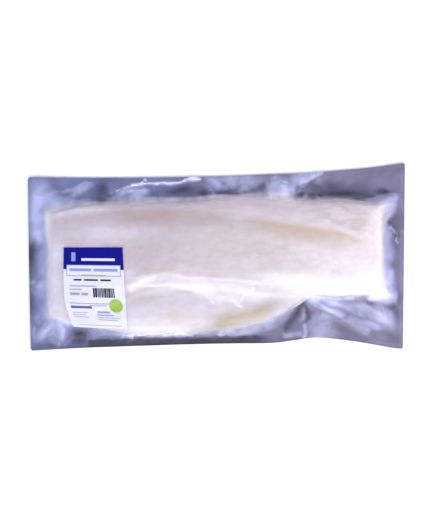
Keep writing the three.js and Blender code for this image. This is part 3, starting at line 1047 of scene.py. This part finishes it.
# How fast the film's gloss grows as it is seen more along its face
GRAZING_POWER = 5.0


def clear_film():
    """Clear film: see-through, with a pale veil where it is creased, and glossy all over."""
    look = Look("clear_film")
    normal = look.bump(look.noise(Scale=260, Detail=3.0), Strength=0.12, Distance=0.0006)
    milk = look.attribute("milk", "Color")
    veil = look.node("BsdfPrincipled", Base_Color=milk, Roughness=0.45, Normal=normal)
    veiled = look.mix(look.attribute("veil", "Fac"), look.node("BsdfTransparent"), veil)
    gloss = look.node("BsdfGlossy", Roughness=look.attribute("haze", "Fac"), Normal=normal)
    facing = look.node("LayerWeight", Blend=0.5, Normal=normal)
    grazing = look.node("Math", Value=facing.outputs["Facing"])
    grazing.operation = "POWER"
    grazing.inputs[1].default_value = GRAZING_POWER
    sheen = look.node("MapRange", Value=grazing.outputs[0], To_Min=0.06, To_Max=1.0)
    return look.finished(look.mix(sheen.outputs[0], veiled, gloss))


def back_film():
    """The bag's other face: smoky blue-grey film, see-through under the fish."""
    look = Look("back_film")
    tone = look.grained_tone(look.noise(Scale=90.0, Detail=4.0), darkest=0.88, lightest=1.1)
    film = look.node("BsdfPrincipled", Base_Color=tone, Roughness=0.3, Specular_IOR_Level=0.25)
    clear = look.node("BsdfTransparent")
    return look.finished(look.mix(look.attribute("smoke", "Fac"), clear, film))


def flesh():
    """Moist white flesh: its broad colours come with the piece, its fine grain from noise."""
    look = Look("cod_flesh")
    place = look.node("Mapping", Vector=look.place(), Scale=(110, 210, 160)).outputs["Vector"]
    fibre = look.node("TexNoise", Vector=place, Scale=1.0, Detail=5.0, Roughness=0.6).outputs["Fac"]
    moist = look.node(
        "BsdfPrincipled", Base_Color=look.grained_tone(fibre, darkest=0.92, lightest=1.04),
        Normal=look.bump(fibre, Strength=0.25, Distance=0.0008), Roughness=0.5, Specular_IOR_Level=0.25,
        Subsurface_Weight=0.3, Subsurface_Scale=0.004, Subsurface_Radius=(1.0, 0.55, 0.4),
    )
    return look.finished(moist)


# How much darker and lighter the mottle of paper and ink is
PRINT_MOTTLE = (0.93, 1.04)


def printed(name, colour, roughness):
    """Paper or ink: a flat colour with a faint mottle and a fine tooth."""
    look = Look(name)
    noise = look.noise(Scale=420.0, Detail=4.0)
    mottle = look.node("ValToRGB", Fac=noise)
    for element, share in zip(mottle.color_ramp.elements, PRINT_MOTTLE):
        element.color = (*np.minimum(colour * share, 1).tolist(), 1.0)
    face = look.node(
        "BsdfPrincipled", Base_Color=mottle.outputs["Color"], Roughness=roughness,
        Specular_IOR_Level=0.25, Normal=look.bump(noise, Strength=0.06, Distance=0.0003),
    )
    return look.finished(face)


# Where the film's margin starts, from inside the fish's edge, and how smoky the back is under the fish
MARGIN_RAMP = (6, -4)
SMOKE_UNDER_FISH = 0.35


def film_piece(solid_top, solid_base):
    x, y = bag_plan()
    base = read_map(solid_base, x, y)
    above = read_map(solid_top, x, y)
    place = wander(x, y)
    top = film_top(above, base, x, y, place)
    piece = layer("film", x, y, base, top, [clear_film(), back_film()])
    margin = ramp(in_from_edge(x, y), *MARGIN_RAMP)
    veil = film_veil(x, y, place, above - base)
    add_numbers(piece, "veil", veil)
    add_colours(piece, "milk", milk_tones(x, y))
    add_numbers(piece, "haze", film_haze(place, veil, margin))
    add_numbers(piece, "smoke", lerp(SMOKE_UNDER_FISH, 1, margin))
    add_colours(piece, "tone", back_tones(x, y, place))
    return piece


def fish_piece(solid_top):
    x, y = fish_plan()
    top = flesh_top(read_map(solid_top, x, y), x, y)
    piece = layer("cod_loin", x, y, np.full_like(x, FISH_BASE), top, [flesh()])
    add_colours(piece, "tone", flesh_tones(x, y))
    return piece


# Colours of the label
PAPER = srgb(210, 210, 231)
INKS = {
    "blue": srgb(2, 8, 122),
    "mid_blue": srgb(66, 80, 168),
    "pale_blue": srgb(135, 143, 197),
    "green": srgb(146, 178, 74),
    "black": srgb(38, 38, 52),
    "grey": srgb(150, 152, 176),
    "white": PAPER,
}
PAPER_ROUGHNESS = 0.45
INK_ROUGHNESS = 0.4
# The print, from the paper up: ink, left, right, top and bottom, as shares from the label's top left
PRINT_LAYERS = [
    [("blue", 0, 1, 0, 0.273)],
    [
        ("pale_blue", 0.13, 0.2, 0.06, 0.17),
        ("white", 0.3, 0.86, 0.134, 0.165),
        ("pale_blue", 0.05, 0.95, 0.216, 0.356),
    ],
    [("white", 0.062, 0.938, 0.225, 0.347)],
    [
        ("pale_blue", 0.1, 0.46, 0.26, 0.295), ("pale_blue", 0.5, 0.9, 0.26, 0.295),
        ("green", 0.3, 0.7, 0.336, 0.35), ("black", 0.17, 0.3, 0.392, 0.412),
        ("black", 0.34, 0.57, 0.392, 0.412), ("black", 0.61, 0.78, 0.392, 0.412),
        ("grey", 0.1, 0.54, 0.472, 0.484), ("grey", 0.1, 0.3, 0.515, 0.527),
        ("grey", 0.1, 0.26, 0.562, 0.594), ("grey", 0.29, 0.4, 0.562, 0.594),
        ("grey", 0.07, 0.74, 0.69, 0.7), ("grey", 0.4, 0.68, 0.714, 0.724),
        ("mid_blue", 0.08, 0.43, 0.728, 0.758), ("grey", 0.08, 0.34, 0.808, 0.816),
        ("grey", 0.08, 0.3, 0.836, 0.844), ("grey", 0.08, 0.34, 0.864, 0.872),
        ("pale_blue", 0.5, 0.72, 0.79, 0.808), ("pale_blue", 0.5, 0.78, 0.828, 0.84),
        ("grey", 0.5, 0.88, 0.862, 0.87), ("grey", 0.5, 0.84, 0.89, 0.898),
        ("grey", 0.1, 0.9, 0.962, 0.968),
    ],
]
# The bar code's sides in the same shares, and the widths of its bars and gaps
BAR_CODE = (0.48, 0.83, 0.5, 0.615)
BAR_WIDTHS = (0.014, 0.02, 0.028, 0.036)
BAR_GAPS = (0.005, 0.006, 0.008)
# The round mark: its centre in the same shares, its radius, and the label's width and length there
DISC_CENTRE = (0.835, 0.715)
DISC_RADIUS = 7.0
DISC_SCALE = (62, 85)
DISC_MESH = (12, 12)


def label_height(solid_top, x, y):
    return read_map(solid_top, x, y) + LABEL_LIFT


def label_piece(solid_top):
    x, y = label_plan(*rounded_corners(*grid(*LABEL_SIZE), *LABEL_SIZE, LABEL_CORNER))
    lower = label_height(solid_top, x, y)
    paper = printed("paper", PAPER, PAPER_ROUGHNESS)
    return layer("label_sheet", x, y, lower, lower + LABEL_THICKNESS, [paper])


def field(left, right, top, bottom):
    """Shares over a rectangle of the label, about one cell to a millimetre."""
    columns = max(1, round((right - left) * LABEL_SIZE[0]))
    rows = max(1, round((bottom - top) * LABEL_SIZE[1]))
    u, v = grid(columns, rows)
    return lerp(left, right, u), 1 - lerp(bottom, top, v)


def bar_code():
    """Shares over each bar of the bar code."""
    draw = random.Random(SEED)
    left, right, top, bottom = BAR_CODE
    at = left
    while at < right:
        width = draw.choice(BAR_WIDTHS)
        yield field(at, min(at + width, right), top, bottom)
        at += width + draw.choice(BAR_GAPS)


def disc():
    """Shares over the round mark."""
    across, up = (2 * share - 1 for share in grid(*DISC_MESH))
    u = DISC_CENTRE[0] + across * np.sqrt(1 - up**2 / 2) * DISC_RADIUS / DISC_SCALE[0]
    v = 1 - DISC_CENTRE[1] + up * np.sqrt(1 - across**2 / 2) * DISC_RADIUS / DISC_SCALE[1]
    return u, v


def print_fields():
    """Every field of the print: its ink, its layer above the paper and the shares over it."""
    for step, fields in enumerate(PRINT_LAYERS, 1):
        for ink, *sides in fields:
            yield ink, step, field(*sides)
    for bar in bar_code():
        yield "black", 1, bar
    yield "green", len(PRINT_LAYERS), disc()


def print_piece(solid_top):
    """All the print: flat fields of ink that follow the paper, each a little above it."""
    names = list(INKS)
    places = []
    faces = []
    marks = []
    count = 0
    for ink, step, shares in print_fields():
        x, y = label_plan(*shares)
        z = label_height(solid_top, x, y) + LABEL_THICKNESS + step * INK_LIFT
        places.append(np.stack([x, y, z], -1).reshape(-1, 3))
        faces.append(quads(count + np.arange(x.size).reshape(x.shape)))
        marks.append(np.full(len(faces[-1]), names.index(ink), np.int32))
        count += x.size
    materials = [printed("ink_" + name, INKS[name], INK_ROUGHNESS) for name in names]
    piece = mesh_piece("label_print", np.concatenate(places), np.concatenate(faces), materials)
    piece.data.polygons.foreach_set("material_index", np.concatenate(marks))
    return piece


def dress_part():
    """Puts the film, the fish, the label and its print in the place of the two solids."""
    solid_top = softened(cad_heights("sealed_bag", True))
    solid_base = np.maximum(blurred(cad_heights("sealed_bag", False), MAP_BLUR), 0)
    film = film_piece(solid_top, solid_base)
    fish = fish_piece(solid_top)
    label = label_piece(solid_top)
    ink = print_piece(solid_top)

    for piece, solid, slot in (
        (film, "sealed_bag", "film"),
        (fish, "sealed_bag", "cod_flesh"),
        (label, "label", "label_paper"),
        (ink, "label", "label_ink"),
    ):
        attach(piece, BODY)
        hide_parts(solid)


# Floor
FLOOR_HALF = 4000
FLOOR_LEVEL = -0.3
FLOOR_COLOUR = (0.98, 0.98, 0.98, 1.0)
# Lamps, in metres and watts: name, place, size, power, colour and whether glossy faces mirror it
LAMPS = [
    ("key", (0.2, -0.75, 1.2), (0.9, 0.6), 14.5, (1.0, 0.97, 0.97), True),
    ("near_fill", (-0.25, -1.25, 0.4), (1.1, 0.2), 3, (0.93, 0.96, 1.0), True),
    ("left_fill", (-1.2, -0.2, 0.8), (0.5, 0.8), 7.5, (0.82, 0.87, 1.0), False),
    ("right_fill", (1.2, 0.1, 0.8), (0.5, 0.8), 8, (0.92, 0.92, 1.0), False),
    ("far_fill", (0.1, 1.2, 0.6), (1.0, 0.5), 7, (0.92, 0.93, 1.0), False),
]
# Light from all round
WORLD_COLOUR = (0.86, 0.88, 1.0, 1.0)
WORLD_STRENGTH = 0.34


def add_floor():
    """A plain white floor just under the part."""
    look = Look("floor")
    plain = look.finished(look.node("BsdfPrincipled", Base_Color=FLOOR_COLOUR, Roughness=0.9))
    corners = [(-1, -1), (1, -1), (1, 1), (-1, 1)]
    places = np.array([(x * FLOOR_HALF, y * FLOOR_HALF, FLOOR_LEVEL) for x, y in corners])
    floor = mesh_piece("floor", places, [range(len(corners))], [plain])


def add_lamp(name, place, size, power, colour, mirrored):
    """A soft rectangular lamp that faces the part."""
    light = bpy.data.lights.new(name, "AREA")
    light.shape = "RECTANGLE"
    light.size, light.size_y = size
    light.energy = power
    light.color = colour
    lamp = bpy.data.objects.new(name, light)
    lamp.location = place
    lamp.visible_glossy = mirrored
    lamp.rotation_euler = (-Vector(place)).to_track_quat("-Z", "Y").to_euler()
    scene.collection.objects.link(lamp)


def add_world():
    world = bpy.data.worlds.new("world")
    world.use_nodes = True
    background = world.node_tree.nodes["Background"]
    background.inputs["Color"].default_value = WORLD_COLOUR
    background.inputs["Strength"].default_value = WORLD_STRENGTH
    scene.world = world
    scene.view_settings.view_transform = "Standard"


def add_camera():
    """The camera, straight above, at the height where one pixel is PIXEL wide on the table."""
    camera = bpy.data.cameras.new("camera")
    camera.lens = LENS
    camera.sensor_width = SENSOR
    distance = PIXEL * IMAGE_HEIGHT * MM * LENS / SENSOR
    eye = bpy.data.objects.new("camera", camera)
    eye.location = (VIEW_CENTRE[0] * MM, VIEW_CENTRE[1] * MM, distance)
    scene.collection.objects.link(eye)
    scene.camera = eye


dress_part()
add_floor()
for lamp_values in LAMPS:
    add_lamp(*lamp_values)
add_world()
add_camera()
